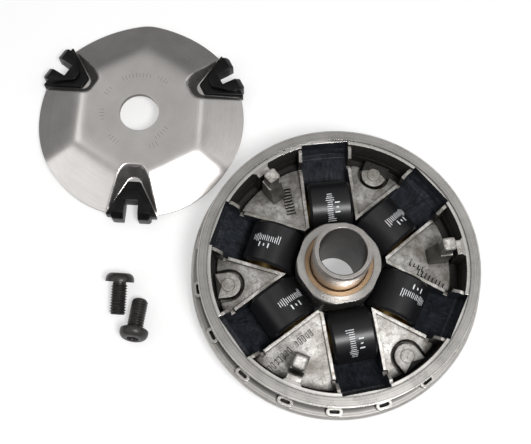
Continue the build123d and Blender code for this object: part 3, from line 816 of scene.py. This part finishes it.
def plate_marks():
    """Short etched strokes in small groups round the bore, a neutral stand-in for stamped marks."""
    centre = Vector(mounts["plate_bore"]["pos_m"])
    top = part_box("ramp_plate")[1].z
    built = bmesh.new()
    for direction, count, distance in PLATE_MARKS:
        for i in range(count):
            r = distance * MM
            a = radians(direction) + (i - (count - 1) / 2) * MARK_PITCH / r
            spot = Matrix.Translation((centre.x, centre.y, top - 0.004 * MM)) @ Matrix.Rotation(a, 4, "Z")
            reach = MARK_LENGTH * (0.5 if i % 3 else 0.36)
            corners = [(r - reach, -MARK_HALF_WIDTH, 0), (r + reach, -MARK_HALF_WIDTH, 0),
                       (r + reach, MARK_HALF_WIDTH, 0), (r - reach, MARK_HALF_WIDTH, 0)]
            built.faces.new([built.verts.new(spot @ Vector(corner)) for corner in corners])
    mesh = bpy.data.meshes.new("etched_marks")
    built.to_mesh(mesh)
    built.free()
    marks = bpy.data.objects.new("etched_marks", mesh)
    bpy.context.scene.collection.objects.link(marks)
    piece(marks, "plate",
          turned_metal("etched_steel", (0.30, 0.285, 0.28), (0.44, 0.42, 0.41),
                       ring_scale=3.0, rough=(0.4, 0.5), metallic=0.9))


# ---------------------------------------------------------------- slide pieces
SADDLE_IN, SADDLE_OUT = 26.4 * MM, 40.0 * MM
SADDLE_IN_HALF, SADDLE_OUT_HALF = 2.4 * MM, 9.9 * MM
SADDLE_TOP = 5.6 * MM
FORK_IN, FORK_SHOULDER, FORK_OUT = 30.0 * MM, 37.2 * MM, 41.8 * MM
FORK_NOSE_HALF, FORK_HALF = 1.9 * MM, 7.5 * MM
FORK_SLOT_HALF, FORK_SLOT_IN = 2.6 * MM, 34.4 * MM
FORK_TOP, FORK_TIP_TOP, FORK_FALL = 8.0 * MM, 5.8 * MM, 39.6 * MM
GUIDE_BOTTOM = 0.3 * MM
FORK_TIP = 0.8 * MM


def make_guide(number, axis, material):
    """One black slide piece: a rounded V saddle in the pocket, and the fork that stands on it."""
    centre = Vector(mounts["plate_bore"]["pos_m"])
    spot = Matrix.Translation((centre.x, centre.y, 0)) @ Matrix.Rotation(radians(axis), 4, "Z")
    saddle = prism("saddle", [(SADDLE_IN, -SADDLE_IN_HALF), (SADDLE_OUT, -SADDLE_OUT_HALF),
                              (SADDLE_OUT, SADDLE_OUT_HALF), (SADDLE_IN, SADDLE_IN_HALF)],
                   GUIDE_BOTTOM, SADDLE_TOP)
    modifier(saddle, "BEVEL", width=0.8 * MM, segments=4)
    applied(saddle)
    half = [(FORK_OUT, 0), (FORK_OUT, FORK_HALF - FORK_TIP), (FORK_OUT - FORK_TIP, FORK_HALF),
            (FORK_FALL, FORK_HALF), (FORK_SHOULDER, FORK_HALF),
            (FORK_IN + 0.7 * MM, FORK_NOSE_HALF + 0.5 * MM), (FORK_IN, FORK_NOSE_HALF - 0.4 * MM)]
    outline = half[1:] + [(x, -y) for x, y in half[:0:-1]]
    fork = prism("fork", outline, GUIDE_BOTTOM, FORK_TOP)
    built = bmesh.new()
    built.from_mesh(fork.data)
    bmesh.ops.bisect_plane(built, geom=built.verts[:] + built.edges[:] + built.faces[:],
                           plane_co=(FORK_FALL, 0, 0), plane_no=(1, 0, 0))
    for v in built.verts:
        if v.co.z > 0.5 * FORK_TOP and v.co.x > FORK_FALL:
            v.co.z = FORK_TOP - (v.co.x - FORK_FALL) / (FORK_OUT - FORK_FALL) * (FORK_TOP - FORK_TIP_TOP)
    built.to_mesh(fork.data)
    built.free()
    slot = prism("slot", [(FORK_SLOT_IN, -FORK_SLOT_HALF), (60 * MM, -FORK_SLOT_HALF - 0.4 * MM),
                          (60 * MM, FORK_SLOT_HALF + 0.4 * MM), (FORK_SLOT_IN, FORK_SLOT_HALF)],
                 -5 * MM, 20 * MM)
    for part in (saddle, fork):
        modifier(part, "BOOLEAN", operation="DIFFERENCE", object=slot, solver="EXACT")
        applied(part)
    bpy.data.objects.remove(slot)
    modifier(fork, "BEVEL", width=0.35 * MM, segments=3, limit_method="ANGLE", angle_limit=radians(22))
    applied(fork)
    guide = join([saddle, fork], f"slide_piece_{number}")
    guide.data.transform(spot)
    sharp_by_angle(guide, 40)
    piece(guide, "plate", material, [f"slider_guide_{number}"])


# ---------------------------------------------------------------- screws
PITCH = 1.0 * MM
MINOR_R = 2.42 * MM
CREST_R = 2.99 * MM
RIDGE_RISE, RIDGE_CUT = 1.32, 0.14      # the thread's triangle is made steeper and lower, so it has flats
THREAD_START, THREAD_FADE = 0.55 * MM, 0.8 * MM     # plain neck, then the thread grows to its full depth
SCREW_POINT, POINT_SLOPE = 0.75 * MM, 0.9
HEAD_ONLY_R = 4.5 * MM      # only the head is wider than this
SCREW_EDGE = 0.75 * MM      # height of the upright edge of the head
SCREW_TOP_R = 3.0 * MM      # flat on the top of the head
CROWN_STEPS, AROUND, SHANK_STEPS = 9, 60, 132
SOCKET_R, SOCKET_DEPTH = 2.0 * MM, 2.0 * MM
SOCKET_CORNER_R, SOCKET_CHAMFER = 2.25 * MM, 0.22 * MM


def thread_radius(depth, turn):
    """Radius of the threaded shank at a depth below the head and an angle in turns."""
    phase = (depth / PITCH + turn) % 1.0
    ridge = min(1.0, max(0.0, RIDGE_RISE * (1 - abs(2 * phase - 1)) - RIDGE_CUT))
    fade = min(1.0, max(0.0, (depth - THREAD_START) / THREAD_FADE))
    point = SCREW_R - max(0.0, depth - (SCREW_LENGTH - SCREW_POINT)) * POINT_SLOPE
    return min(point, MINOR_R + (CREST_R - MINOR_R) * ridge * fade)


def screw_frame(number):
    co = np.array([v.co for v in nodes[f"button_screw_{number}"].data.vertices])
    centre = co.mean(0)
    _, _, axes = np.linalg.svd(co - centre, full_matrices=False)
    axis = Vector(axes[0])
    along = (co - centre) @ np.array(axis)
    wide = np.linalg.norm(co - centre - np.outer(along, np.array(axis)), axis=1)
    if along[wide > HEAD_ONLY_R].mean() < 0:
        axis, along = -axis, -along
    head = along.max()
    top = Vector(centre) + axis * (head - SCREW_HEAD)
    side = axis.orthogonal().normalized()
    turn = Matrix((side, axis.cross(side), axis)).transposed().to_4x4()
    return Matrix.Translation(top) @ turn


def make_screw(number, socket_turn):
    """Threaded screw with a domed head and a hex socket, built as rings of points from tip to socket."""
    place = screw_frame(number)
    rows = []
    crown = [(SCREW_HEAD_R - 0.04 * MM, 0.0), (SCREW_HEAD_R, 0.12 * MM), (SCREW_HEAD_R, SCREW_EDGE)]
    for i in range(1, CROWN_STEPS):
        a = i / CROWN_STEPS * pi / 2
        crown.append((SCREW_HEAD_R - (SCREW_HEAD_R - SCREW_TOP_R) * (1 - cos(a)),
                      SCREW_EDGE + (SCREW_HEAD - SCREW_EDGE) * sin(a)))
    shank = [SCREW_LENGTH * (1 - i / SHANK_STEPS) for i in range(SHANK_STEPS + 1)]
    verts, faces = [], []
    rows.append([(0.2 * MM, -SCREW_LENGTH)] * AROUND)
    for depth in shank:
        rows.append([(thread_radius(depth, s / AROUND), -depth) for s in range(AROUND)])
    rows.append([(4.4 * MM, 0.0)] * AROUND)
    for point in crown:
        rows.append([point] * AROUND)
    rows.append([(2.75 * MM, SCREW_HEAD)] * AROUND)
    for z, grow in ((SCREW_HEAD, SOCKET_CHAMFER), (SCREW_HEAD - SOCKET_CHAMFER, 0.0),
                    (SCREW_HEAD - SOCKET_DEPTH, 0.0)):
        ring = []
        for s in range(AROUND):
            a = 2 * pi * s / AROUND
            local = ((a + pi / 6 + socket_turn) % (pi / 3)) - pi / 6
            ring.append((min(SOCKET_R / cos(local), SOCKET_CORNER_R) + grow, z))
        rows.append(ring)
    rows.append([(0.15 * MM, SCREW_HEAD - 2.45 * MM)] * AROUND)
    for ring in rows:
        verts += [(r * cos(2 * pi * s / AROUND), r * sin(2 * pi * s / AROUND), z)
                  for s, (r, z) in enumerate(ring)]
    for k in range(len(rows) - 1):
        for s in range(AROUND):
            t = (s + 1) % AROUND
            faces.append((k * AROUND + s, k * AROUND + t, (k + 1) * AROUND + t, (k + 1) * AROUND + s))
    faces.append(tuple(reversed(range(AROUND))))
    faces.append(tuple((len(rows) - 1) * AROUND + s for s in range(AROUND)))
    screw = mesh_object(f"hex_socket_screw_{number}", verts, faces)
    screw.data.transform(place)
    sharp_by_angle(screw, 50)
    piece(screw, f"screw_{number}", black_oxide(f"black_oxide_{number}", place.inverted()),
          [f"button_screw_{number}"])


# ---------------------------------------------------------------- stage, lights, camera
def make_stage():
    size = 3.0
    floor = mesh_object("floor", [(-size, -size, 0), (size, -size, 0), (size, size, 0), (-size, size, 0)],
                        [(0, 1, 2, 3)], smooth=False)
    floor.location.z = -0.02 * MM
    n = Nodes("pale_floor")
    tone = n.noise(n.place(), 0.002, 2, 0.5)
    base = n.ramp(tone, "Fac", [(0.3, (0.56, 0.56, 0.56)), (0.7, (0.58, 0.58, 0.58))])
    n.color((base, "Color"))
    floor.data.materials.append(n.set(Roughness=0.9, Specular_IOR_Level=0.2, Emission_Strength=0.42,
                                      Emission_Color=(1, 1, 1, 1)))


def area_light(name, direction, distance, size, power, aim):
    """Square soft box that shines on the aim point from a direction; distances in metres, power in watts."""
    data = bpy.data.lights.new(name, "AREA")
    data.energy = power
    data.size = size
    light = bpy.data.objects.new(name, data)
    towards = Vector(direction).normalized()
    light.location = Vector(aim) + towards * distance
    light.rotation_euler = towards.to_track_quat("Z", "Y").to_euler()
    bpy.context.scene.collection.objects.link(light)


def make_lights():
    middle = (-0.03, 0.02, 0.0)
    area_light("key_box", (0.30, -0.37, 0.88), 0.62, 0.15, 2.3, aim=(-0.066, 0.045, 0.0))
    area_light("left_box", (-1.0, -0.35, 0.75), 1.0, 0.5, 0.9, aim=middle)
    area_light("right_box", (1.0, 0.25, 0.7), 1.0, 0.4, 0.6, aim=middle)
    area_light("bend_box_left", (-0.52, 0.30, 0.78), 1.0, 0.3, 0.37, aim=middle)
    area_light("bend_box_right", (0.36, 0.40, 0.84), 1.0, 0.2, 0.15, aim=middle)
    world = bpy.data.worlds.new("studio")
    bpy.context.scene.world = world
    world.use_nodes = True
    tree = world.node_tree
    tree.nodes.clear()
    out = tree.nodes.new("ShaderNodeOutputWorld")
    back = tree.nodes.new("ShaderNodeBackground")
    coords = tree.nodes.new("ShaderNodeTexCoord")
    split = tree.nodes.new("ShaderNodeSeparateXYZ")
    ramp = tree.nodes.new("ShaderNodeValToRGB")
    tree.links.new(coords.outputs["Generated"], split.inputs[0])
    tree.links.new(split.outputs["Z"], ramp.inputs["Fac"])
    tree.links.new(ramp.outputs["Color"], back.inputs["Color"])
    tree.links.new(back.outputs[0], out.inputs["Surface"])
    elements = ramp.color_ramp.elements
    elements[0].position, elements[0].color = 0.0, (0.06, 0.06, 0.063, 1)
    elements[1].position, elements[1].color = 1.0, (0.62, 0.62, 0.615, 1)
    middle_stop = elements.new(0.45)
    middle_stop.color = (0.30, 0.30, 0.305, 1)
    back.inputs["Strength"].default_value = 1.0


def make_camera():
    data = bpy.data.cameras.new("camera")
    data.sensor_width = 36.0
    data.lens = CAMERA_LENS
    data.clip_start = 0.01
    camera = bpy.data.objects.new("camera", data)
    camera.matrix_world = (Matrix.Translation(CAMERA_PLACE) @ Matrix.Rotation(radians(CAMERA_TILT), 4, "X")
                           @ Matrix.Rotation(radians(CAMERA_ROLL), 4, "Z"))
    bpy.context.scene.collection.objects.link(camera)
    bpy.context.scene.camera = camera
    bpy.context.scene.view_settings.view_transform = "Standard"


make_camera()
make_stage()
make_lights()
finish_housing()
cast_marks()
finish_rollers()
finish_hub()
plate_marks()
make_plate()
plastic = moulded_plastic()
for number, axis in enumerate(TAB_AXES, start=1):
    make_guide(number, axis, plastic)
make_screw(1, 0.3)
make_screw(2, 0.0)
